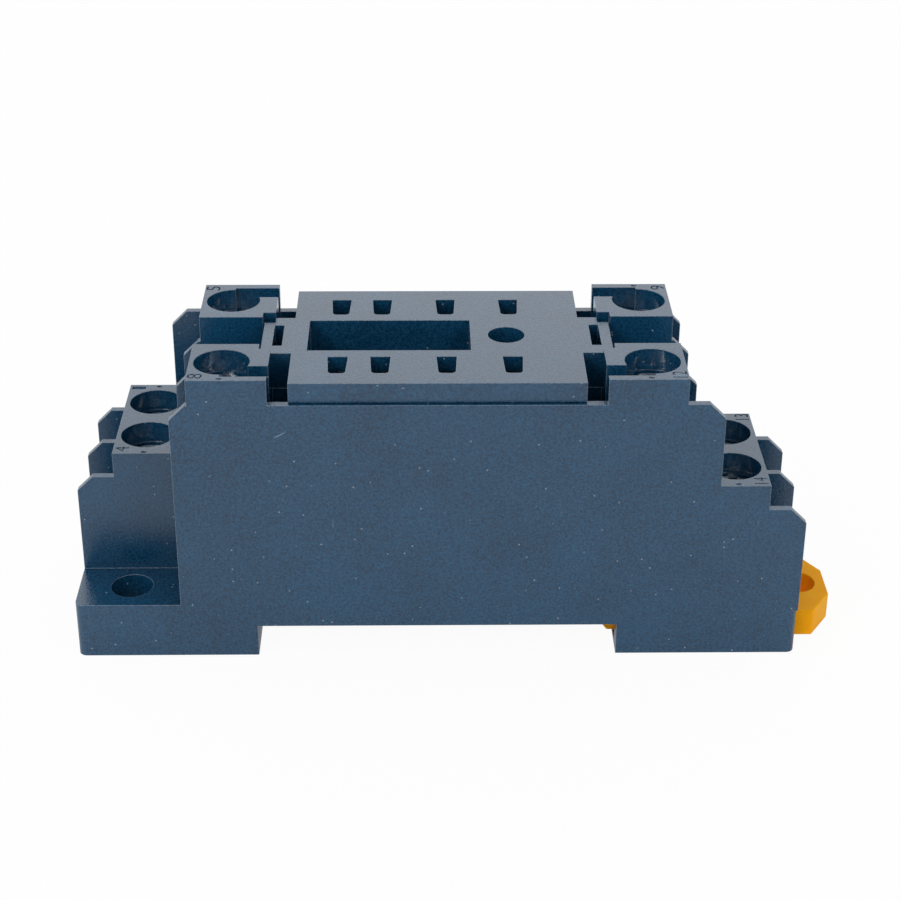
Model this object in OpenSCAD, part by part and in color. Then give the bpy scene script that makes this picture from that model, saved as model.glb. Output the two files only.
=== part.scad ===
// Two-pole relay socket for a 35 mm rail: moulded housing, snap-in seat plate,
// sprung rail latch, and eight screw terminals wired to eight blade contacts.
// Millimetres. X runs along the socket (latch end at +X), Y from the front
// flank (-Y) to the rear one, Z up from the mounting face.

/* [Housing] */
// Length over the barriers of the lower terminals
body_l = 71.5; // [68:0.5:90]
// Width over the two flanks
body_w = 22; // [20:0.5:28]
// Height of the upper terminal blocks
body_h = 30.6; // [29:0.1:38]
// Length over the upper terminal blocks
upper_l = 47.1; // [46:0.1:52]
// Height of the lower terminal blocks
lower_h = 19.15; // [18.5:0.05:20]
// Height of the feet that stand beside the lower blocks
foot_h = 5.9; // [5:0.1:7]
// How far the lower barriers reach past their block
lower_reach = 3.7; // [2:0.1:6]
// How far the short upper barriers reach past their block
short_reach = 1.75; // [1:0.05:3]
// How far the long upper flank barriers reach past their block
long_reach = 3.65; // [2:0.05:6]
// Clear width of one terminal cell between its barriers
cell_w = 6.4; // [6.2:0.05:6.6]
// Thickness of a barrier
barrier_t = 0.75; // [0.6:0.05:1]
// Height of a block top above the barriers at its end
barrier_drop = 2.65; // [1.5:0.05:4]
// Chamfer on the outer top corner of a barrier
barrier_c = 1.55; // [0.5:0.05:1.7]
// Radius on the upright corners of the feet
foot_r = 0.8; // [0.4:0.1:1.5]

/* [Relay seat] */
// Length of the seat plate between the clip pockets
seat_l = 28.1; // [27:0.1:29.5]
// Inset of the seat plate from each flank
seat_inset = 0.43; // [0.2:0.01:0.8]
// Drop of the seat plate below the upper blocks
seat_drop = 0.55; // [0.2:0.05:1]
// Depth of the skirt along the front and rear of the seat plate
skirt_h = 2; // [1.5:0.1:3]
// Gap that shades the foot of the skirt
skirt_gap = 0.1; // [0.05:0.01:0.3]
// Thickness of the seat plate's top wall
seat_t = 1.6; // [1.2:0.1:2]
// Depth of the seat plate from its top to the deck it stands on
seat_depth = 3.7; // [3.2:0.1:4.4]
// Thickness of the seat plate's inner walls
seat_wall = 1; // [0.7:0.1:1.3]
// Distance between the two rows of blade slots
row_pitch = 13.2; // [12.4:0.1:13.4]
// First blade slot, from the middle of the socket
slot_x0 = -9.55; // [-10:0.05:-9]
// Steps from each blade slot to the next
slot_steps = [4.1, 6.35, 6.35];
// Size of a blade slot at its wide end
slot_w = 1.95; // [1.6:0.05:2.2]
// Size of a blade slot at its narrow end
slot_w2 = 1.65; // [1.3:0.05:1.9]
// Length of a blade slot
slot_l = 3.55; // [3:0.05:4]
// Rectangular well: middle, length and width
key_x = -4.65; // [-4.8:0.05:-4.4]
// Length of the rectangular well
key_l = 15.85; // [14:0.05:16]
// Width of the rectangular well
key_w = 6.85; // [5:0.05:7.2]
// Middle of the round well
peg_x = 6.8; // [6.4:0.05:7]
// Diameter of the round well
peg_d = 3.6; // [3:0.1:4.2]
// Depth of both wells below the seat
well_depth = 16; // [8:0.5:17]
// Width of the retaining clip pockets at each end of the seat
clip_w = 1.85; // [1.5:0.05:2.2]
// Depth of the retaining clip pockets below the seat
clip_depth = 6; // [5:0.1:6.4]
// Wall left outside a clip pocket
clip_wall = 0.83; // [0.7:0.01:1]
// Reach of the seat plate's side bridges past the clip pockets
bridge_reach = 1.15; // [0.8:0.05:1.3]
// Depth of the bridge's seat cut into each upper block
bridge_notch = 1.05; // [0.6:0.05:1.3]
// Width of the slot through each side bridge
bridge_slot_w = 0.95; // [0.6:0.05:1.1]
// Length of the slot through each side bridge
bridge_slot_l = 4.65; // [3:0.05:5]
// Size of the relief at the rear corner of each side bridge
bridge_relief = 1.2; // [0.8:0.05:1.5]
// Play between the seat plate and the housing
seat_play = 0.1; // [0.05:0.01:0.2]
// Depth of the trench between the upper blocks
trench_depth = 6.6; // [4:0.1:7]

/* [Terminals] */
// Diameter of a screw well
well_d = 5.35; // [5.2:0.05:5.6]
// Distance of a screw well's middle from its block's end
well_in = 3.1; // [3:0.05:3.4]
// Width of the loading channel beside an upper screw well
channel_w = 2.25; // [1.5:0.05:2.6]
// Wall left outside a loading channel
channel_wall = 0.85; // [0.7:0.05:1.2]
// Depth of a loading channel
channel_depth = 5.2; // [3:0.1:6]
// Depth of the screw head below its block, terminal open
head_depth = 2.4; // [1:0.1:3]
// Diameter of the screw head
head_d = 4.9; // [4.4:0.1:5]
// Height of the screw head
head_h = 2; // [1.6:0.1:2.2]
// Diameter of the screw's shank
screw_d = 3; // [2.6:0.1:3]
// Length of the screw under its head
screw_l = 7; // [6.6:0.1:7.2]
// Travel of the clamp from open to closed
clamp_travel = 2.6; // [2:0.1:2.8]
// Thickness of the clamp plate
clamp_t = 1; // [0.8:0.1:1.2]
// Length of the clamp plate along the wire
clamp_l = 5; // [4.4:0.1:5.2]
// Width of the clamp plate
clamp_w = 5.1; // [4.4:0.1:5.2]
// Running clearance of the screw in the clamp plate and the strip
screw_play = 0.06; // [0.03:0.01:0.1]
// Gap left under the clamp plate when it is closed
clamp_rest = 0.15; // [0.1:0.05:0.4]
// Height of the wire entry in a block's end
entry_h = 3.7; // [3:0.1:3.9]
// Width of the wire entry
entry_w = 5; // [4:0.1:5.2]
// Room round the clamp plate in its cavity
cavity_play = 0.25; // [0.15:0.05:0.4]

/* [Contacts] */
// Thickness of the terminal strips
strip_t = 1.2; // [1:0.1:1.4]
// Width of the terminal strips
strip_w = 3.6; // [3:0.1:3.8]
// Play round a strip in the housing
strip_play = 0.15; // [0.1:0.05:0.2]
// Thickness of the contact's sheet
leaf_t = 0.4; // [0.3:0.05:0.5]
// Width of the contact's leaves
leaf_w = 3; // [2.4:0.1:3.2]
// Height of a contact
leaf_h = 5.5; // [4:0.1:5.7]
// Gap at the contact's throat
throat = 0.5; // [0.3:0.05:0.8]
// Spread of the contact's leaves above their foot
leaf_spread = 2.3; // [1.8:0.1:2.4]

/* [Rail and latch] */
// Width of the rail slot across the mounting face
rail_w = 35.6; // [35.2:0.1:36.5]
// Depth of the rail slot
rail_h = 3.4; // [3:0.1:3.6]
// How far each hook reaches into the rail slot
hook_reach = 1.3; // [0.8:0.1:2]
// Level of the hooks' upper face, under the rail's flange
hook_top = 2.2; // [1.8:0.1:2.3]
// Width of the hooks
hook_w = 8.6; // [6:0.1:9]
// Underside of the latch above the mounting face
latch_z = 0.65; // [0.5:0.05:1]
// Thickness of the latch
latch_t = 2.9; // [2:0.1:3]
// Width of the latch's tab
tab_w = 10.8; // [9:0.1:11.2]
// How far the tab stands out of the housing
tab_out = 4.1; // [3:0.1:6]
// Chamfers of the tab along X and Y
tab_c = [2.05, 3.15];
// Diameter of the screwdriver hole in the tab
tab_hole_d = 3.8; // [3:0.1:4.2]
// Middle of the screwdriver hole from the tab's outer edge
tab_hole_in = 2.95; // [2.6:0.05:3.4]
// Width of the latch's bar
bar_w = 4.4; // [3:0.1:5]
// Thickness of the latch's spring legs
leg_t = 0.9; // [0.7:0.1:1.1]
// Travel of the latch
latch_travel = 2.5; // [2:0.1:3]
// Play round the latch
latch_play = 0.2; // [0.15:0.05:0.3]
// Diameter of the mounting screw holes
mount_d = 4.2; // [3.5:0.1:4.5]
// Distance of a mounting hole from the foot's end
mount_in = 5.25; // [4:0.05:6]
// Distance of a mounting hole from the nearer flank
mount_side = 3.6; // [3:0.05:4]

/* [Hidden] */
eps = 0.01;
cut = 1;                                   // run-out of a cutter past a face
$fn = 48;

flank = body_w / 2;
cell_step = cell_w + barrier_t;
block_w = cell_w + 2 * barrier_t;          // one cell: an upper block
pair_w = 2 * cell_w + 3 * barrier_t;       // two cells: a lower block
lower_end = body_l / 2 - lower_reach;
upper_end = upper_l / 2;
clip_end = seat_l / 2 + seat_play + clip_w;
bridge_end = clip_end + bridge_reach;
bridge_y = flank - block_w + bridge_notch;
seat_z = body_h - seat_drop;
deck_z = seat_z - seat_depth;
wall_z = seat_z - skirt_h - skirt_gap;
clip_z = seat_z - clip_depth;
trench_z = body_h - trench_depth;
well_z = seat_z - well_depth;

// Terminals: [x, y, block top, row of its contact, slot of its contact].
// Screw wells stand on the middle of their cells.
cell_y = flank - barrier_t - cell_w / 2;
next_y = cell_y - cell_step;
upper_x = upper_end - well_in;
lower_x = lower_end - well_in;
terminals = [
    [-upper_x, -cell_y, body_h, -1, 0], [-upper_x, cell_y, body_h, 1, 0],
    [-lower_x, cell_y, lower_h, 1, 1], [-lower_x, next_y, lower_h, -1, 1],
    [upper_x, -cell_y, body_h, -1, 3], [upper_x, cell_y, body_h, 1, 3],
    [lower_x, -cell_y, lower_h, -1, 2], [lower_x, -next_y, lower_h, 1, 2]
];
terminal_range = [0 : len(terminals) - 1];

function total(v, n) = n == 0 ? 0 : v[n - 1] + total(v, n - 1);
function slot_x(i) = slot_x0 + total(slot_steps, i);
function row_y(row) = row * row_pitch / 2;
function out(t) = sign(t[0]);              // +1 or -1, away from the middle
function is_lower(t) = t[2] < body_h - eps;
function is_middle(t) = abs(t[1]) < cell_y - eps;

// Levels in a terminal, from its block top down
function under_head(t) = t[2] - head_depth - head_h;
function strip_top(t) = under_head(t) - clamp_t - clamp_travel - clamp_rest;
function strip_z(t) = strip_top(t) - strip_t;
function tip_low(t) = under_head(t) - screw_l - clamp_travel;
function ceiling(t) = under_head(t) + cavity_play;
contact_z = strip_top([0, 0, body_h]);     // every contact's foot
riser_gap = leaf_spread / 2 + strip_t / 2 - leaf_t / 2;

// ---------------------------------------------------------------- helpers

// A box given by its two corners
module block(a, b) {
    translate(a) cube(b - a);
}

// The same shape at both ends of the socket, half a turn apart
module both_ends() {
    children();
    rotate(180) children();
}

// Unit normal of the step from a to b, on its left
function normal(a, b) = let (d = b - a) [-d[1], d[0]] / norm(d);

// Mitred offset of point i of a path by a distance to its left
function mitre(path, i, d) =
    let (
        n = len(path) - 1,
        n1 = normal(path[max(i - 1, 0)], path[max(i, 1)]),
        n2 = normal(path[min(i, n - 1)], path[min(i + 1, n)]),
        m = n1 + n2
    )
    path[i] + m * (2 * d / (m * m));

// Section of a folded sheet that follows a path
module sheet(path, t) {
    polygon(concat(
        [for (i = [0 : len(path) - 1]) mitre(path, i, t / 2)],
        [for (i = [len(path) - 1 : -1 : 0]) mitre(path, i, -t / 2)]
    ));
}

// A section drawn in XZ, extruded along Y about a middle line
module along_y(y, w) {
    translate([0, y + w / 2, 0]) rotate([90, 0, 0]) linear_extrude(w) children();
}

// ---------------------------------------------------------------- housing

// One barrier between wires, standing past a block's end at x0
module barrier(x0, reach, y, z0, z1) {
    along_y(y + barrier_t / 2, barrier_t)
        polygon([
            [x0 - cut, z0], [x0 + reach, z0], [x0 + reach, z1 - barrier_c],
            [x0 + reach - barrier_c, z1], [x0 - cut, z1]
        ]);
}

// Blocks and barriers of one end
module end_blocks() {
    block([0, -flank, 0], [lower_end, -flank + pair_w, lower_h]);
    for (i = [0 : 2])
        barrier(lower_end, lower_reach, -flank + i * cell_step,
                foot_h - cut, lower_h - barrier_drop);

    block([0, -flank, lower_h - cut], [upper_end, flank, body_h]);
    block([0, -flank, 0], [upper_end + short_reach, flank, lower_h]);
    upper_barriers = [
        [-flank, long_reach], [-flank + cell_step, short_reach],
        [flank - barrier_t - cell_step, short_reach], [flank - barrier_t, short_reach]
    ];
    for (b = upper_barriers)
        barrier(upper_end, b[1], b[0], lower_h - cut, body_h - barrier_drop);
}

// Slab that carries both feet, with rounded upright corners
module feet() {
    linear_extrude(foot_h)
        difference() {
            square([body_l, body_w], center = true);
            for (sx = [-1, 1], sy = [-1, 1])
                translate([sx * body_l / 2, sy * flank])
                    difference() {
                        square(2 * foot_r, center = true);
                        translate([-sx * foot_r, -sy * foot_r]) circle(foot_r);
                    }
        }
}

// Space for the seat plate, the clip pockets and the trench at one end
module end_cuts() {
    // trench between the upper blocks
    block([bridge_end, -flank + block_w, trench_z],
          [upper_end + long_reach, flank - block_w, body_h + cut]);
    // seat of the side bridge
    block([0, -bridge_y, deck_z], [bridge_end, bridge_y, body_h + cut]);
    // slot through the bridge, on into the deck
    block([clip_end - bridge_slot_w, -bridge_slot_l / 2, clip_z],
          [clip_end, bridge_slot_l / 2, body_h]);
    // clip pockets, open to the flanks above the wall
    for (s = [-1, 1])
        block([clip_end - clip_w, s > 0 ? bridge_y : -flank + clip_wall, clip_z],
              [clip_end, s > 0 ? flank - clip_wall : -bridge_y, body_h]);
}

// Channel through which an upper strip is loaded, beside its screw well
module channel(t) {
    x = [out(t) * (clip_end - eps), t[0]];
    y = [sign(t[1]) * (flank - channel_wall), sign(t[1]) * (flank - channel_wall - channel_w)];
    block([min(x), min(y), body_h - channel_depth], [max(x), max(y), body_h + cut]);
}

// Screw well, clamp cavity, wire entry and screw tip hole of one terminal
module terminal_cuts(t) {
    translate([t[0], t[1], 0]) {
        translate([0, 0, ceiling(t) - eps])
            cylinder(d = well_d, h = t[2] - ceiling(t) + cut);
        translate([0, 0, tip_low(t) - cavity_play])
            cylinder(d = screw_d + 4 * cavity_play, h = strip_z(t) - tip_low(t) + cut);
        block([-clamp_l / 2 - cavity_play, -clamp_w / 2 - cavity_play, strip_z(t)],
              [clamp_l / 2 + cavity_play, clamp_w / 2 + cavity_play, ceiling(t)]);
        x = [0, out(t) * (well_in + cut)];
        block([min(x), -entry_w / 2, strip_top(t)],
              [max(x), entry_w / 2, strip_top(t) + entry_h]);
    }
}

// Tunnel and chamber that one strip and its contact lie in
module strip_cuts(t) {
    sx = slot_x(t[4]);
    ry = row_y(t[3]);
    half = strip_w / 2 + strip_play;
    run_y = is_middle(t) ? t[1] : ry;
    x = [sx - out(t) * (riser_gap + strip_t / 2 + strip_play), t[0]];
    top = strip_top(t) + strip_play;
    block([min(x), run_y - half, strip_z(t)], [max(x), run_y + half, top]);
    if (is_middle(t)) {
        y = [t[1] - half * t[3], ry + half * t[3]];
        cx = sx + out(t) * riser_gap;
        block([cx - half, min(y), strip_z(t)], [cx + half, max(y), top]);
    }
    // chamber round the contact, and round the riser of a lower strip
    cx = leaf_spread / 2 + leaf_t / 2 + strip_play;
    block([sx - cx, ry - half, contact_z], [sx + cx, ry + half, deck_z + cut]);
    if (is_lower(t)) {
        rx = sx + out(t) * riser_gap;
        block([rx - strip_t / 2 - strip_play, ry - half, strip_z(t)],
              [rx + strip_t / 2 + strip_play, ry + half, contact_z + eps]);
    }
    block([sx - cx, ry - half, contact_z - strip_t], [sx + cx, ry + half, contact_z + eps]);
}

// Rail slot, with the fixed hook left standing at the -X side
module rail_cut() {
    difference() {
        block([-rail_w / 2, -flank - cut, -cut], [rail_w / 2, flank + cut, rail_h]);
        along_y(0, hook_w)
            polygon([
                [-rail_w / 2 - cut, latch_z], [-rail_w / 2 + hook_reach / 2, latch_z],
                [-rail_w / 2 + hook_reach, hook_top - latch_z],
                [-rail_w / 2 + hook_reach, hook_top], [-rail_w / 2 - cut, hook_top]
            ]);
    }
}

// Guide in the +X foot for the latch, open below between two lips
module latch_cut() {
    half = tab_w / 2 + latch_play;
    lip = bar_w / 2 + latch_play;
    y = latch_y;
    block([rail_w / 2 - cut, y - half, latch_z - latch_play],
          [body_l / 2 + cut, y + half, latch_z + latch_t + latch_play]);
    block([rail_w / 2 - cut, y - lip, -cut],
          [body_l / 2 + cut, y + lip, latch_z]);
}

module housing() {
    color([0.13, 0.15, 0.18])
        difference() {
            union() {
                both_ends() end_blocks();
                feet();
            }
            both_ends() end_cuts();
            // relief beside the rear corner of each side bridge, run into the pocket
            for (s = [-1, 1])
                translate([s * (bridge_end - bridge_reach / 2), bridge_y - bridge_relief / 2, clip_z])
                    block([-bridge_reach / 2 - seat_play, -bridge_relief / 2, 0],
                          [bridge_reach / 2 + seat_play, bridge_relief / 2, body_h]);
            // deck and lowered walls under the seat plate
            block([-seat_l / 2 - seat_play, -flank + clip_wall, deck_z],
                  [seat_l / 2 + seat_play, flank - clip_wall, body_h + cut]);
            block([-clip_end, -flank - cut, wall_z], [clip_end, flank + cut, body_h + cut]);
            block([key_x - key_l / 2, -key_w / 2, well_z],
                  [key_x + key_l / 2, key_w / 2, body_h]);
            translate([peg_x, 0, well_z]) cylinder(d = peg_d, h = body_h);
            for (t = terminals) {
                terminal_cuts(t);
                strip_cuts(t);
                if (!is_lower(t)) channel(t);
            }
            rail_cut();
            latch_cut();
            both_ends()
                translate([body_l / 2 - mount_in, flank - mount_side, -cut])
                    cylinder(d = mount_d, h = foot_h + 2 * cut);
        }
}

// ------------------------------------------------------------- seat plate

// Blade slot: wide at the rear, with rounded corners at the narrow front
module blade_slot() {
    r = slot_w2 / 4;
    union() {
        polygon([
            [-slot_w / 2, slot_l / 2], [slot_w / 2, slot_l / 2],
            [slot_w2 / 2, -slot_l / 2 + r], [-slot_w2 / 2, -slot_l / 2 + r]
        ]);
        for (s = [-1, 1])
            translate([s * (slot_w2 / 2 - r), -slot_l / 2 + r]) circle(r);
        translate([-slot_w2 / 2 + r, -slot_l / 2]) square([slot_w2 - 2 * r, 2 * r]);
    }
}

// Outline of the plate below its skirt: deck panel and two side bridges
module seat_outline() {
    in_y = flank - clip_wall - seat_play;
    difference() {
        union() {
            square([seat_l, 2 * in_y], center = true);
            square([2 * (bridge_end - seat_play), 2 * (bridge_y - seat_play)], center = true);
        }
        for (s = [-1, 1]) {
            // relief at the rear corner of the bridge
            translate([s * (bridge_end - bridge_reach / 2), bridge_y - bridge_relief / 2])
                square([bridge_reach + 2 * eps, bridge_relief], center = true);
            translate([s * (clip_end - bridge_slot_w / 2), 0])
                square([bridge_slot_w, bridge_slot_l], center = true);
        }
    }
}

module seat_holes() {
    for (row = [-1, 1], i = [0 : len(slot_steps)])
        translate([slot_x(i), row_y(row)]) blade_slot();
    translate([key_x, 0]) square([key_l, key_w], center = true);
    translate([peg_x, 0]) circle(d = peg_d);
}

// Hollows under the top wall: one along each row of slots
module seat_hollows() {
    in_y = flank - clip_wall - seat_play;
    y0 = key_w / 2 + seat_wall;
    for (s = [-1, 1])
        block([-seat_l / 2 + seat_wall, s > 0 ? y0 : -in_y + seat_wall, deck_z - cut],
              [seat_l / 2 - seat_wall, s > 0 ? in_y - seat_wall : -y0, seat_z - seat_t]);
}

module seat_plate() {
    color([0.16, 0.18, 0.21])
        difference() {
            union() {
                translate([0, 0, deck_z]) linear_extrude(seat_depth) seat_outline();
                block([-seat_l / 2, -flank + seat_inset, seat_z - skirt_h],
                      [seat_l / 2, flank - seat_inset, seat_z]);
            }
            seat_hollows();
            translate([0, 0, deck_z - cut]) linear_extrude(seat_depth + 2 * cut) seat_holes();
        }
}

// ------------------------------------------------------------- rail latch

latch_y = -flank + pair_w / 2;
tab_end = body_l / 2 + tab_out;
bar_x0 = rail_w / 2 - hook_reach;
leg_x0 = bar_x0 + hook_reach + 2 * latch_play + leg_t;
tab_x0 = body_l / 2 - latch_travel;

// Plan of the tab, bar and spring legs
module latch_plan() {
    half = tab_w / 2;
    polygon([
        [tab_x0, -half], [tab_end - tab_c[0], -half], [tab_end, -half + tab_c[1]],
        [tab_end, half - tab_c[1]], [tab_end - tab_c[0], half], [tab_x0, half]
    ]);
    block2([bar_x0, -bar_w / 2], [tab_x0 + eps, bar_w / 2]);
    // each leg springs from the bar beside the tab and bows out to the guide
    for (s = [-1, 1]) {
        bow = half - leg_t / 2 - bar_w / 4;
        sheet([
            [tab_x0 - 2 * leg_t, s * bar_w / 4], [tab_x0 - 3 * leg_t, s * (bow + bar_w / 4)],
            [(tab_x0 + leg_x0) / 2, s * (bow + bar_w / 8)], [leg_x0 + leg_t, s * (bar_w / 2 + leg_t)]
        ], leg_t);
    }
}

module block2(a, b) {
    translate(a) square(b - a);
}

module rail_latch() {
    color([0.95, 0.62, 0.1])
        translate([0, latch_y, 0])
            difference() {
                union() {
                    translate([0, 0, latch_z]) linear_extrude(latch_t) latch_plan();
                    // hook that holds the rail's flange
                    along_y(-latch_y + latch_hook_y, hook_w)
                        polygon([
                            [bar_x0 + hook_reach / 2, latch_z],
                            [bar_x0 + hook_reach + latch_play + leg_t, latch_z],
                            [bar_x0 + hook_reach + latch_play + leg_t, hook_top],
                            [bar_x0, hook_top], [bar_x0, hook_top - latch_z]
                        ]);
                }
                // clearance over the hook for the rail's flange
                block([bar_x0 - cut, -tab_w, hook_top],
                      [rail_w / 2 + latch_play + leg_t, tab_w, latch_z + latch_t + cut]);
                // lead-in under the hook
                along_y(0, 2 * tab_w)
                    polygon([
                        [bar_x0 - cut, latch_z - cut], [bar_x0 + hook_reach / 2, latch_z - cut],
                        [bar_x0 + hook_reach / 2, latch_z], [bar_x0, hook_top - latch_z],
                        [bar_x0 - cut, hook_top - latch_z]
                    ]);
                translate([tab_end - tab_hole_in, 0, latch_z - cut])
                    cylinder(d = tab_hole_d, h = latch_t + 2 * cut);
            }
}
latch_hook_y = latch_y;

// -------------------------------------------------------------- terminals

// Screw: cheese head with a cross recess, plain shank for its thread
module terminal_screw(t) {
    slot_t = head_d / 5;
    slot_d = head_h / 2;
    color([0.78, 0.79, 0.8])
        translate([t[0], t[1], under_head(t)])
            difference() {
                union() {
                    cylinder(d = head_d, h = head_h);
                    translate([0, 0, -screw_l + screw_d / 4])
                        cylinder(d = screw_d, h = screw_l - screw_d / 4 + eps);
                    translate([0, 0, -screw_l])
                        cylinder(d1 = screw_d * 0.7, d2 = screw_d, h = screw_d / 4 + eps);
                }
                for (a = [0, 90])
                    rotate(a)
                        translate([0, 0, head_h])
                            cube([head_d * 0.62, slot_t, 2 * slot_d], center = true);
                translate([0, 0, head_h])
                    cube([head_d + cut, slot_t, slot_d], center = true);
            }
}

// Clamp plate: captive under the head, its wire edges turned down
module clamp_plate(t) {
    lip = clamp_t * 0.35;
    color([0.72, 0.73, 0.74])
        translate([t[0], t[1], under_head(t) - clamp_t - head_gap])
            difference() {
                union() {
                    block([-clamp_l / 2, -clamp_w / 2, 0], [clamp_l / 2, clamp_w / 2, clamp_t]);
                }
                // grooves that bite the wire
                for (s = [-1, 0, 1])
                    translate([s * clamp_l / 4, 0, 0])
                        rotate([0, 45, 0]) cube([lip, clamp_w + cut, lip], center = true);
                translate([0, 0, -cut]) cylinder(d = screw_d + 2 * screw_play, h = clamp_t + 2 * cut);
            }
}
head_gap = 0.03;

// Terminal strip: threaded pad, run to the contact and, from a lower
// terminal, a riser folded up to the level of the contacts
module terminal_strip(t) {
    sx = slot_x(t[4]);
    ry = row_y(t[3]);
    run_y = is_middle(t) ? t[1] : ry;
    rx = sx + out(t) * riser_gap;
    low = strip_z(t) + strip_t / 2;
    high = contact_z - strip_t / 2;
    foot = sx - out(t) * (leaf_spread / 2 + leaf_t / 2);
    color([0.8, 0.72, 0.5])
        difference() {
            union() {
                translate([t[0], t[1], strip_z(t)])
                    block([-clamp_l / 2, -clamp_w / 2, 0], [clamp_l / 2, clamp_w / 2, strip_t]);
                if (!is_lower(t)) {
                    x = [foot, t[0]];
                    block([min(x), ry - strip_w / 2, strip_z(t)],
                          [max(x), ry + strip_w / 2, strip_top(t)]);
                } else {
                    if (is_middle(t)) {
                        x = [rx - out(t) * strip_t / 2, t[0]];
                        y = [t[1] - t[3] * strip_w / 2, ry + t[3] * strip_w / 2];
                        block([min(x), run_y - strip_w / 2, strip_z(t)],
                              [max(x), run_y + strip_w / 2, strip_top(t)]);
                        block([rx - strip_w / 2, min(y), strip_z(t)],
                              [rx + strip_w / 2, max(y), strip_top(t)]);
                    }
                    along_y(ry, strip_w)
                        sheet([
                            [is_middle(t) ? rx + out(t) * strip_w / 2 : t[0], low],
                            [rx, low], [rx, high], [foot, high]
                        ], strip_t);
                }
            }
            translate([t[0], t[1], strip_z(t) - cut])
                cylinder(d = screw_d + 2 * screw_play, h = strip_t + 2 * cut);
        }
}

// Blade contact: one sheet folded into a foot and two sprung leaves
module blade_contact(t) {
    w = leaf_spread / 2;
    foot_z = leaf_t / 2;
    throat_x = throat / 2 + leaf_t / 2;
    leaf = [
        [w, foot_z], [w, leaf_h * 0.35], [throat_x, leaf_h * 0.78], [w * 0.85, leaf_h]
    ];
    color([0.85, 0.78, 0.55])
        translate([slot_x(t[4]), 0, contact_z])
            along_y(row_y(t[3]), leaf_w)
                sheet(concat(
                    [for (i = [len(leaf) - 1 : -1 : 0]) [-leaf[i][0], leaf[i][1]]], leaf
                ), leaf_t);
}

// ---------------------------------------------------------------- parts

housing();
seat_plate();
rail_latch();
for (k = terminal_range) {
    terminal_screw(terminals[k]);
    clamp_plate(terminals[k]);
    terminal_strip(terminals[k]);
    blade_contact(terminals[k]);
}
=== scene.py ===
import math

import bpy
from mathutils import Matrix, Vector


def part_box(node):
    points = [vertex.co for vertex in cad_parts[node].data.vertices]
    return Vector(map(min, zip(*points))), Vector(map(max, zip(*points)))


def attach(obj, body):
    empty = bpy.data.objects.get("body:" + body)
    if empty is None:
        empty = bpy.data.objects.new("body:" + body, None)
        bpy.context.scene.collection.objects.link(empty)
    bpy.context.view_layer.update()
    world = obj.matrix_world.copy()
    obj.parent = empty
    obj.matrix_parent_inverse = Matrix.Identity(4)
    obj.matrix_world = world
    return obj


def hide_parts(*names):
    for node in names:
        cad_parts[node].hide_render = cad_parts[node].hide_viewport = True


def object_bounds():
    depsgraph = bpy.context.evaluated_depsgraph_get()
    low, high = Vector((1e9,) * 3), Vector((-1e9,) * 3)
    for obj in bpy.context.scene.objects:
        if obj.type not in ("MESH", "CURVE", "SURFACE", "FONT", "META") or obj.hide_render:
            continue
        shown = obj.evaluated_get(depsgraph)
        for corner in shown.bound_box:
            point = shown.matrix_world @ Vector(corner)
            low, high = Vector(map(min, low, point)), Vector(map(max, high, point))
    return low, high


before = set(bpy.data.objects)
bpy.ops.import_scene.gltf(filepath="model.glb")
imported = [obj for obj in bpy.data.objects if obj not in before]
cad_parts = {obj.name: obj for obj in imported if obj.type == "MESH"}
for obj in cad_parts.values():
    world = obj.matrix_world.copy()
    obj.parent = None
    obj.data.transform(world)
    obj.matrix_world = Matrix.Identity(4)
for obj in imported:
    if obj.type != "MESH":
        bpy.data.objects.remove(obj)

cad_low, cad_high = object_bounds()


# ---------------------------------------------------------------- Housing
# One moulding of dark thermoplastic, satin all over with a fine spark-eroded
# grain, smoother where core pins made the screw wells. Each terminal's number
# and a small gate mark are sunk into the top of its block by the mould.

MM = 0.001


class Wire:
    """A shader node's output that takes part in sums."""

    def __init__(self, tree, socket=None):
        self.tree, self.socket = tree, socket

    def node(self, kind, settings=(), inputs=(), out=0):
        """Adds a node: its settings first, then its sockets' values or links."""
        made = self.tree.nodes.new("ShaderNode" + kind)
        for name, value in dict(settings).items():
            if name == "stops":
                ramp = made.color_ramp.elements
                while len(ramp) < len(value):
                    ramp.new(0.5)
                for stop, (place, colour) in zip(ramp, value):
                    stop.position, stop.color = place, (*colour, 1)
            else:
                setattr(made, name, value)
        for name, value in dict(inputs).items():
            if isinstance(value, Wire):
                self.tree.links.new(value.socket, made.inputs[name])
            else:
                made.inputs[name].default_value = value
        return Wire(self.tree, made.outputs[out]) if made.outputs else None

    def math(self, operation, *terms):
        return self.node("Math", {"operation": operation}, dict(enumerate(terms)))

    def vector(self, operation, *terms, out=0, scale=None):
        inputs = dict(enumerate(terms)) if scale is None else {0: terms[0], "Scale": scale}
        return self.node("VectorMath", {"operation": operation}, inputs, out)

    def mix(self, first, second):
        """The colour that lies this far from the first towards the second."""
        return self.node("Mix", {"data_type": "RGBA"}, {0: self, 6: first, 7: second}, 2)

    def over(self, low, high):
        """0 below low and 1 above high, smooth between."""
        return self.node("MapRange", {"interpolation_type": "SMOOTHSTEP"},
                         {"Value": self, "From Min": low, "From Max": high})

    def __add__(self, other):
        return self.math("ADD", self, other)

    def __sub__(self, other):
        return self.math("SUBTRACT", self, other)

    def __rsub__(self, other):
        return self.math("SUBTRACT", other, self)

    def __mul__(self, other):
        return self.math("MULTIPLY", self, other)

    __radd__, __rmul__ = __add__, __mul__


def new_material(name):
    """An empty material, and the object's place in it in millimetres."""
    made = bpy.data.materials.new(name)
    made.use_nodes = True
    made.node_tree.nodes.clear()
    start = Wire(made.node_tree)
    metres = start.node("TexCoord", out="Object")
    return made, start, metres.vector("SCALE", metres, scale=1 / MM)


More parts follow.
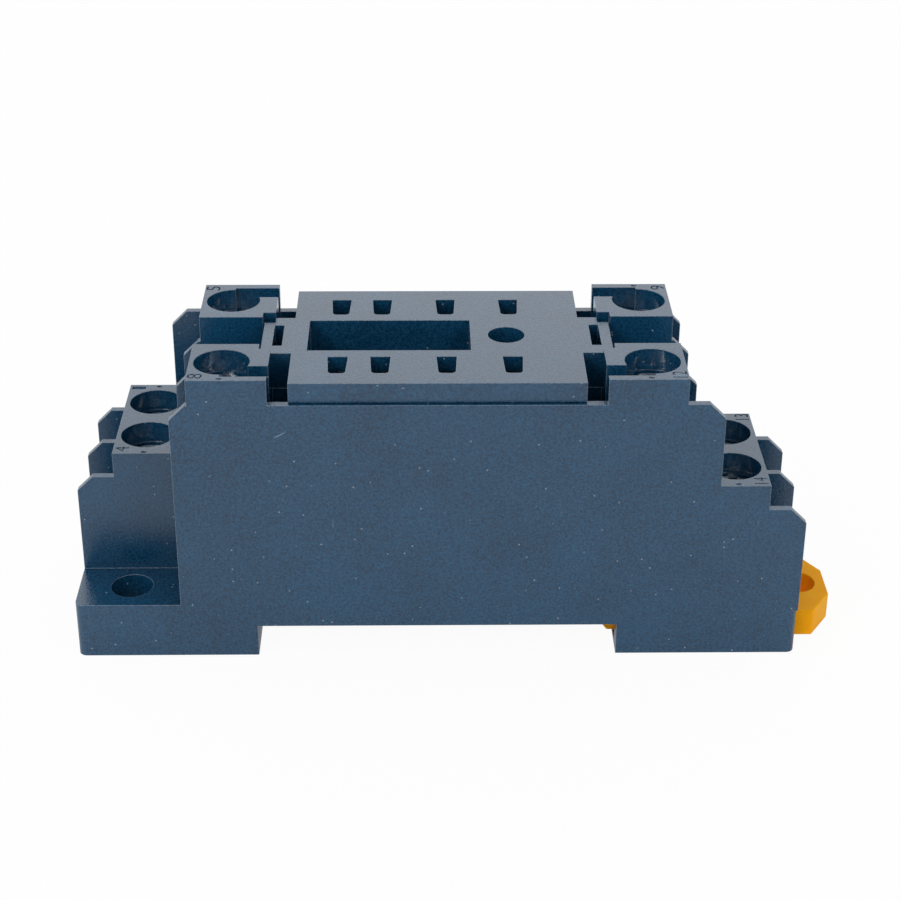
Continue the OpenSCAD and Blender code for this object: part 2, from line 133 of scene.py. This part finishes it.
def finish_surface(start, colour, roughness, normal, **constants):
    """The surface itself. Values the same all over are set on its sockets."""
    shader = start.node("BsdfPrincipled", inputs={
        "Base Color": colour, "Roughness": roughness, "Normal": normal, **constants})
    start.node("OutputMaterial", inputs={"Surface": shader})


def noise(place, scale, detail=2.0, rough=0.5):
    return place.node("TexNoise", inputs={
        "Vector": place, "Scale": scale, "Detail": detail, "Roughness": rough})


# the middle of each screw well in X and Y, and the radius of the pins that made them
WELLS = [(-20.45, -7.05), (-20.45, 7.05), (-28.95, 7.05), (-28.95, -0.1),
         (20.45, -7.05), (20.45, 7.05), (28.95, -7.05), (28.95, 0.1)]
pin_r, pin_edge = 2.7, 0.02


def specks(place, stretch, scale, size, share):
    """1 on scattered small marks: dots, or strokes along a direction that is stretched."""
    drawn = place.vector("MULTIPLY", place, stretch)
    near = drawn.node("TexVoronoi", inputs={"Vector": drawn, "Scale": scale})
    which = drawn.node("TexVoronoi", inputs={"Vector": drawn, "Scale": scale}, out="Color")
    chance = which.node("SeparateColor", inputs={0: which})
    return (1 - near.over(size * 0.5, size)) * chance.over(1 - share, 1.02 - share)


def moulded_plastic(name, deep, bright, wells=()):
    """Dark plastic that varies between two colours, smoother inside the wells."""
    # the pale colour of dust and scratches, also used for the painted edge highlights and painted sheen
    pale_marks_and_highlight = (0.4, 0.48, 0.56, 1)
    corner_r, grain_depth = 0.09, 0.025
    matt, matt_spread, well_gloss = 0.12, 0.1, 0.08
    made, start, place = new_material(name)
    cloud = noise(place, 0.13, 3.0)
    grain = noise(place, 4.2, 2.5, 0.8)
    fine = noise(place, 9.0, 2.0, 0.6)
    colour = (cloud * 0.5 + grain * 1.9 + fine * 0.8 - 1.1).over(0.0, 1.0).mix((*deep, 1), (*bright, 1))
    # dust and rubs: pale dots, and short thin scratches that lie in two directions
    dust = specks(place, (1, 1, 1), 1.25, 0.14, 0.2)
    turned = place.node("VectorRotate", {"rotation_type": "AXIS_ANGLE"},
                        {"Vector": place, "Axis": (0, 1, 0), "Angle": 0.5})
    scratch = {"scale": 1.0, "size": 0.05, "share": 0.12}
    lines = specks(place, (1, 1, 0.07), **scratch) + specks(turned, (0.06, 1, 1), **scratch)
    # painted sheen: a thin uneven neutral greyness mixed into the colour in place of the surface's
    # reflection
    painted_sheen = (grain * 2.4 + fine * 1.8 - 1.6).over(0.0, 1.0) * 0.016
    # painted highlight: edges made pale where the moulding turns
    soft = start.node("Bevel", {"samples": 6}, {"Radius": corner_r * MM})
    turn = 1 - soft.vector("DOT_PRODUCT", soft, start.node("NewGeometry", out="Normal"), out=1)
    painted_edge_highlight = turn.over(0.005, 0.16) * (grain * 0.9 + 0.15)
    # dust, scratches, painted edge highlights and painted sheen all lean towards one pale colour
    colour = (dust * 0.5 + lines * 0.5 + painted_edge_highlight + painted_sheen).mix(colour, pale_marks_and_highlight)
    rough = matt + grain * matt_spread
    rise = grain + fine * 0.5 + dust * 1.5
    for x, y in wells:
        flat = place.vector("MULTIPLY", place, (1, 1, 0))
        away = flat.vector("DISTANCE", flat, (x, y, 0), out=1)
        inside = 1 - away.over(pin_r - pin_edge, pin_r + pin_edge)
        rough = rough - inside * well_gloss
        rise = rise * (1 - inside)
    bumped = grain.node("Bump", inputs={
        "Strength": 1.0, "Distance": grain_depth * MM, "Height": rise, "Normal": soft})
    finish_surface(start, colour, rough, bumped, IOR=1.6)
    return made


def give(piece, material):
    """Puts a material in every slot of a piece."""
    if not piece.data.materials:
        piece.data.materials.append(material)
    for slot in piece.material_slots:
        slot.material = material


def alone(piece):
    """Selects one piece and nothing else."""
    bpy.ops.object.select_all(action="DESELECT")
    piece.select_set(True)
    bpy.context.view_layer.objects.active = piece


def merged_copy(node, name, flat=None):
    """A CAD node's shape in a new piece, as one closed shell. Facets that turn
    by less than flat degrees are joined up."""
    made = bpy.data.objects.new(name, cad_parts[node].data.copy())
    bpy.context.collection.objects.link(made)
    made.data.materials.clear()
    alone(made)
    bpy.ops.mesh.customdata_custom_splitnormals_clear()
    bpy.ops.object.mode_set(mode="EDIT")
    bpy.ops.mesh.select_all(action="SELECT")
    bpy.ops.mesh.remove_doubles(threshold=0.0005 * MM)
    if flat:
        bpy.ops.mesh.dissolve_limited(angle_limit=math.radians(flat))
    bpy.ops.object.mode_set(mode="OBJECT")
    return made


def apply_modifier(piece, kind, **settings):
    made = piece.modifiers.new(kind.lower(), kind)
    for name, value in settings.items():
        setattr(made, name, value)
    alone(piece)
    bpy.ops.object.modifier_apply(modifier=made.name)


def join(pieces):
    alone(pieces[0])
    for piece in pieces:
        piece.select_set(True)
    bpy.ops.object.join()
    return pieces[0]


def cut_away(piece, cutter):
    apply_modifier(piece, "BOOLEAN", operation="DIFFERENCE", object=cutter, solver="EXACT")
    bpy.data.objects.remove(cutter)


def place_here(piece):
    """Puts the place, turn and size of a piece into its mesh."""
    alone(piece)
    bpy.ops.object.transform_apply(location=True, rotation=True, scale=True)


# each terminal's number, its middle in X and Y, its block's top, and its width
upper_top, lower_top = 30.6, 19.15
NUMBERS = [("8", -22.72, -10.03, upper_top, 1.0), ("5", -22.72, 10.1, upper_top, 1.0),
           ("1", -31.1, 10.3, lower_top, 0.6), ("4", -31.17, -3.13, lower_top, 1.05),
           ("12", 22.7, -9.93, upper_top, 1.3), ("9", 22.7, 10.1, upper_top, 1.0),
           ("14", 31.15, -9.93, lower_top, 1.3), ("13", 31.2, 3.3, lower_top, 1.25)]
# the middle of each gate mark in X and Y, and its block's top
GATES = [(-28.92, -3.75, lower_top), (28.91, -10.6, lower_top), (-29.0, 10.6, lower_top),
         (20.0, -10.6, upper_top), (20.3, 10.6, upper_top), (-20.4, -10.6, upper_top)]
number_height, number_depth = 1.42, 0.16
gate_r, gate_squeeze, gate_depth = 0.3, 0.7, 0.12
marks = []
for digits, x, y, top, width in NUMBERS:
    bpy.ops.object.select_all(action="DESELECT")
    bpy.ops.object.text_add()
    mark = bpy.context.active_object
    mark.data.body, mark.data.extrude, mark.data.resolution_u = digits, 0.1, 4
    bpy.ops.object.convert(target="MESH")
    bpy.ops.object.mode_set(mode="EDIT")
    bpy.ops.mesh.select_all(action="SELECT")
    bpy.ops.mesh.remove_doubles(threshold=0.0005)
    bpy.ops.mesh.normals_make_consistent(inside=False)
    bpy.ops.object.mode_set(mode="OBJECT")
    bpy.ops.object.origin_set(type="ORIGIN_GEOMETRY", center="BOUNDS")
    size = mark.dimensions.copy()
    mark.scale = (width * MM / size.x, number_height * MM / size.y, 2 * number_depth * MM / size.z)
    mark.rotation_euler = (0, 0, math.pi / 2)
    mark.location = Vector((x, y, top)) * MM
    place_here(mark)
    marks.append(mark)
for x, y, top in GATES:
    bpy.ops.mesh.primitive_cylinder_add(
        vertices=24, radius=gate_r * MM, depth=2 * gate_depth * MM,
        location=Vector((x, y, top)) * MM, scale=(1, gate_squeeze, 1))
    gate = bpy.context.active_object
    place_here(gate)
    marks.append(gate)
housing = merged_copy("housing", "housing_moulding")
cut_away(housing, join(marks))
alone(housing)
bpy.ops.object.shade_smooth_by_angle(angle=math.radians(30))
housing_deep, housing_bright = (0.001, 0.021, 0.054), (0.004, 0.073, 0.162)
give(housing, moulded_plastic("moulded thermoplastic", housing_deep, housing_bright, WELLS))
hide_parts("housing")
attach(housing, "socket")

# ------------------------------------------------------------- Seat plate
# A separate moulding of the same thermoplastic, snapped into the housing's
# top. The relay's blades pass through its slots.

seat_edge, rounded_from, smooth_below = 0.12, math.radians(50), math.radians(40)
seat_deep, seat_bright = (0.001, 0.022, 0.056), (0.005, 0.075, 0.165)
seat_plate = merged_copy("seat_plate", "seat_moulding", flat=0.5)
apply_modifier(seat_plate, "BEVEL", width=seat_edge * MM, segments=2, limit_method="ANGLE",
               angle_limit=rounded_from, use_clamp_overlap=True)
alone(seat_plate)
bpy.ops.object.shade_smooth_by_angle(angle=smooth_below)
apply_modifier(seat_plate, "WEIGHTED_NORMAL", weight=100, keep_sharp=True)
give(seat_plate, moulded_plastic("seat thermoplastic", seat_deep, seat_bright))
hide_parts("seat_plate")
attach(seat_plate, "socket")

# ------------------------------------------------------------- Rail latch
# One moulding of orange-yellow acetal, slightly translucent and waxy. It
# slides in the right-hand foot, and a screwdriver in its tab pulls it out.

latch_edge, rounded_from, smooth_below = 0.12, math.radians(45), math.radians(40)
latch_deep, latch_bright = (0.9, 0.37, 0.0005, 1), (0.98, 0.43, 0.001, 1)
latch_plastic, start, place = new_material("orange acetal")
cloud = noise(place, 0.35, 2.0)
grain = noise(place, 6.0, 2.0)
finish_surface(
    start, (cloud * 0.8 + grain * 0.4 - 0.1).over(0.25, 0.75).mix(latch_deep, latch_bright),
    0.5 + grain * 0.12,
    start.node("Bump", inputs={"Strength": 0.15, "Distance": 0.02 * MM, "Height": grain}),
    **{"Subsurface Weight": 0.3, "Subsurface Radius": (1.0, 0.3, 0.02),
       "Subsurface Scale": 1.5 * MM, "IOR": 1.45, "Specular IOR Level": 0.12})
latch = merged_copy("rail_latch", "latch_moulding", flat=1.0)
apply_modifier(latch, "BEVEL", width=latch_edge * MM, segments=3, limit_method="ANGLE",
               angle_limit=rounded_from, use_clamp_overlap=True)
alone(latch)
bpy.ops.object.shade_smooth_by_angle(angle=smooth_below)
apply_modifier(latch, "WEIGHTED_NORMAL", weight=100, keep_sharp=True)
give(latch, latch_plastic)
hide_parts("rail_latch")
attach(latch, "latch")

# -------------------------------------------------------- Terminal screws
# M3 cheese-head screws of bright zinc-plated steel, headed cold, with a cross
# and slot pressed in and a rolled thread that runs out at a short lead point.

terminals = range(1, 9)
head_r, head_h, rim_round, rim_w = 2.45, 2.0, 0.16, 0.12
dish, dish_slope, pressed_edge = 0.38, 0.7, 0.05
cross_l, cross_w, cross_depth, cross_taper = 3, 1, 1, 0.55
slot_l, slot_w, slot_depth = 5.2, 0.9, 0.5
shank_l, shank_in_head, tip_l, tip_r = 6.25, 0.3, 0.75, 1.05
thread_r, root_r, pitch, turns_of_thread = 1.5, 1.24, 0.5, 11
ridge_half, ridge_sunk, thread_start = 0.21, 0.04, 0.25
# how far each screw happens to be turned, in degrees
turns = [84, 70, -15, 40, -50, 10, 80, -30]


def new_box(size, place):
    bpy.ops.object.select_all(action="DESELECT")
    bpy.ops.mesh.primitive_cube_add(size=1, location=Vector(place) * MM, scale=Vector(size) * MM)
    made = bpy.context.active_object
    place_here(made)
    return made


def select_faces(piece, wanted):
    """Selects the faces whose middle and normal pass a test, in edit mode."""
    bpy.ops.object.mode_set(mode="EDIT")
    bpy.ops.mesh.select_mode(type="FACE")
    bpy.ops.mesh.select_all(action="DESELECT")
    bpy.ops.object.mode_set(mode="OBJECT")
    for face in piece.data.polygons:
        face.select = bool(wanted(face.center / MM, face.normal))
    bpy.ops.object.mode_set(mode="EDIT")


# the head, dished inside a raised rim, with its cross and slot
bpy.ops.object.select_all(action="DESELECT")
bpy.ops.mesh.primitive_cylinder_add(vertices=64, radius=head_r * MM, depth=head_h * MM,
                                    location=(0, 0, head_h / 2 * MM))
screw = bpy.context.active_object
place_here(screw)
select_faces(screw, lambda middle, normal: normal.z > 0.9)
bpy.ops.mesh.bevel(offset=rim_round * MM, segments=4, affect="EDGES")
bpy.ops.object.mode_set(mode="OBJECT")
select_faces(screw, lambda middle, normal: normal.z > 0.9 and middle.xy.length < 0.5)
bpy.ops.mesh.inset(thickness=rim_w * MM, depth=0)
bpy.ops.mesh.inset(thickness=dish_slope * MM, depth=-dish * MM)
bpy.ops.object.mode_set(mode="OBJECT")
cross = [new_box((cross_l, cross_w, 2 * cross_depth), (0, 0, head_h)),
         new_box((cross_w, cross_l, 2 * cross_depth), (0, 0, head_h))]
for arm in cross:
    alone(arm)
    select_faces(arm, lambda middle, normal: normal.z < -0.9)
    bpy.ops.transform.resize(value=(cross_taper, cross_taper, 1), center_override=(0, 0, 0))
    bpy.ops.object.mode_set(mode="OBJECT")
    cut_away(screw, arm)
cut_away(screw, new_box((slot_l, slot_w, 2 * slot_depth), (0, 0, head_h)))
apply_modifier(screw, "BEVEL", width=pressed_edge * MM, segments=2, limit_method="ANGLE",
               angle_limit=math.radians(50), use_clamp_overlap=True)
# the shank, its point, and the thread's ridge wound round it
bpy.ops.object.select_all(action="DESELECT")
bpy.ops.mesh.primitive_cylinder_add(vertices=32, radius=root_r * MM,
                                    depth=(shank_l + shank_in_head) * MM,
                                    location=(0, 0, (shank_in_head - shank_l) / 2 * MM))
shank = bpy.context.active_object
place_here(shank)
select_faces(shank, lambda middle, normal: normal.z < -0.9)
bpy.ops.mesh.extrude_region_move(TRANSFORM_OT_translate={"value": (0, 0, -tip_l * MM)})
bpy.ops.transform.resize(value=(tip_r / root_r, tip_r / root_r, 1), center_override=(0, 0, 0))
bpy.ops.object.mode_set(mode="OBJECT")
bpy.ops.object.select_all(action="DESELECT")
bpy.ops.mesh.primitive_circle_add(vertices=3, radius=1 * MM, rotation=(math.pi / 2, 0, 0))
ridge = bpy.context.active_object
place_here(ridge)
ridge_r = root_r - ridge_sunk
flank = [(ridge_r, -ridge_half), (thread_r, 0), (ridge_r, ridge_half)]
for point, (out, up) in zip(ridge.data.vertices, flank):
    point.co = Vector((out, 0, up - shank_l + thread_start)) * MM
apply_modifier(ridge, "SCREW", axis="Z", angle=2 * math.pi, screw_offset=pitch * MM,
               iterations=turns_of_thread, steps=32, render_steps=32, use_merge_vertices=False)
bpy.ops.object.mode_set(mode="EDIT")
bpy.ops.mesh.select_all(action="SELECT")
bpy.ops.mesh.remove_doubles(threshold=0.001 * MM)
bpy.ops.mesh.select_mode(type="EDGE")
bpy.ops.mesh.select_all(action="DESELECT")
bpy.ops.mesh.select_non_manifold()
bpy.ops.mesh.fill_holes(sides=4)
bpy.ops.mesh.select_all(action="SELECT")
bpy.ops.mesh.normals_make_consistent(inside=False)
bpy.ops.object.mode_set(mode="OBJECT")
for part in (ridge, shank):
    apply_modifier(screw, "BOOLEAN", operation="UNION", object=part, solver="EXACT")
    bpy.data.objects.remove(part)
alone(screw)
bpy.ops.object.shade_smooth_by_angle(angle=math.radians(35))

zinc_dull, zinc_bright = (0.72, 0.74, 0.76, 1), (0.96, 0.96, 0.95, 1)
screw_steel, start, place = new_material("bright zinc plate")
cloud = noise(place, 1.6, 3.0)
fine = noise(place, 8.0, 3.0, 0.7)
finish_surface(
    start, (cloud + fine * 0.5 - 0.25).over(0.25, 0.75).mix(zinc_dull, zinc_bright),
    0.1 + cloud * 0.14 + fine * 0.08,
    start.node("Bump", inputs={"Strength": 0.5, "Distance": 0.03 * MM, "Height": fine + cloud}),
    Metallic=1.0)
for k, turn in zip(terminals, turns):
    low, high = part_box(f"terminal_screw_{k}")
    one = bpy.data.objects.new(f"screw_turned_{k}", screw.data.copy())
    bpy.context.collection.objects.link(one)
    one.location = ((low[0] + high[0]) / 2, (low[1] + high[1]) / 2, high[2] - head_h * MM)
    one.rotation_euler = (0, 0, math.radians(turn))
    place_here(one)
    give(one, screw_steel)
    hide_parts(f"terminal_screw_{k}")
    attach(one, f"screw_{k}")
bpy.data.objects.remove(screw)

# ------------------------------------- Clamp plates, strips and contacts
# Square plates of passivated zinc-plated steel that the screws carry, and
# conductors of tinned brass strip, stamped and bent, pressed into the housing.


def stamped_metal(name, dull, bright, gloss, edge, waviness):
    """Plated metal sheet, slightly wavy, with softened edges."""
    made, start, place = new_material(name)
    cloud = noise(place, 1.5, 3.0)
    soft = start.node("Bevel", {"samples": 6}, {"Radius": edge * MM})
    bumped = start.node("Bump", inputs={
        "Strength": waviness, "Distance": 0.02 * MM, "Height": cloud, "Normal": soft})
    finish_surface(start, cloud.over(0.3, 0.7).mix(dull, bright), gloss + cloud * 0.2, bumped,
                   Metallic=1.0)
    return made


clamp_steel = stamped_metal("passivated zinc plate", (0.62, 0.63, 0.6, 1), (0.78, 0.77, 0.7, 1),
                            gloss=0.28, edge=0.06, waviness=0.3)
strip_brass = stamped_metal("tinned brass", (0.72, 0.64, 0.42, 1), (0.8, 0.76, 0.62, 1),
                            gloss=0.25, edge=0.05, waviness=0.2)
for k in terminals:
    give(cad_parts[f"clamp_plate_{k}"], clamp_steel)
    give(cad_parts[f"terminal_strip_{k}"], strip_brass)
    give(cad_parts[f"blade_contact_{k}"], strip_brass)

# ----------------------------------------------------------------- Studio
# A white table, a big soft light behind and above that greys the tops, and
# two smaller ones in front. The camera stands a little left of square on.

floor_size, floor_drop = 4, 0.02 * MM
floor_glow, seen_glow, room_light = 0.25, 0.7, 0.7
bpy.ops.object.select_all(action="DESELECT")
bpy.ops.mesh.primitive_plane_add(size=floor_size, location=(0, 0, cad_low.z - floor_drop))
floor = bpy.context.active_object
floor.name = "table"
white, start = new_material("white table")[:2]
lit = start.node("BsdfDiffuse", inputs={"Color": (0.9, 0.9, 0.9, 1)})
plain = start.node("Emission", inputs={"Color": (1, 1, 1, 1), "Strength": 1.0})
seen = start.node("LightPath")
mixed = start.node("MixShader", inputs={0: floor_glow + seen * seen_glow, 1: lit, 2: plain})
start.node("OutputMaterial", inputs={"Surface": mixed})
give(floor, white)

world = bpy.data.worlds.new("white room")
bpy.context.scene.world = world
world.use_nodes = True
world.node_tree.nodes.clear()
start = Wire(world.node_tree)
seen = start.node("LightPath")
room = start.node("Background", inputs={"Color": (1, 1, 1, 1), "Strength": room_light})
backdrop = start.node("Background", inputs={"Color": (1, 1, 1, 1), "Strength": 1.0})
mixed = start.node("MixShader", inputs={0: seen, 1: room, 2: backdrop})
start.node("OutputWorld", inputs={"Surface": mixed})


def soft_light(name, place, aim, size, power):
    lamp = bpy.data.objects.new(name, bpy.data.lights.new(name, "AREA"))
    lamp.data.shape, lamp.data.size, lamp.data.energy = "SQUARE", size, power
    lamp.location = place
    lamp.rotation_euler = (Vector(aim) - Vector(place)).to_track_quat("-Z", "Y").to_euler()
    bpy.context.collection.objects.link(lamp)


socket_middle = (0, 0, 0.02)
soft_light("rear light", (0, 0.5, 0.33), socket_middle, size=0.5, power=0.62)
soft_light("left light", (-0.35, -0.4, 0.4), socket_middle, size=0.2, power=1.0)
soft_light("right light", (0.35, -0.4, 0.4), socket_middle, size=0.2, power=0.25)

camera = bpy.data.objects.new("camera", bpy.data.cameras.new("camera"))
bpy.context.collection.objects.link(camera)
camera.data.sensor_width, camera.data.lens = 36, 80.44
camera.data.shift_x, camera.data.shift_y = -0.0026, -0.0437
camera.data.clip_start = 0.01
# where the camera stands, and its own right, down and forward directions
stand = Vector((-1.645, -178.422, 114.251)) * MM
right = Vector((0.9998685, -0.0155284, 0.0046630))
down = Vector((-0.0030114, -0.4604634, -0.8876735))
ahead = Vector((0.0159313, 0.8875429, -0.4604496))
camera_turn = Matrix((right, -down, -ahead)).transposed().to_4x4()
camera.matrix_world = Matrix.Translation(stand) @ camera_turn
bpy.context.scene.camera = camera
bpy.context.scene.view_settings.view_transform = "Standard"
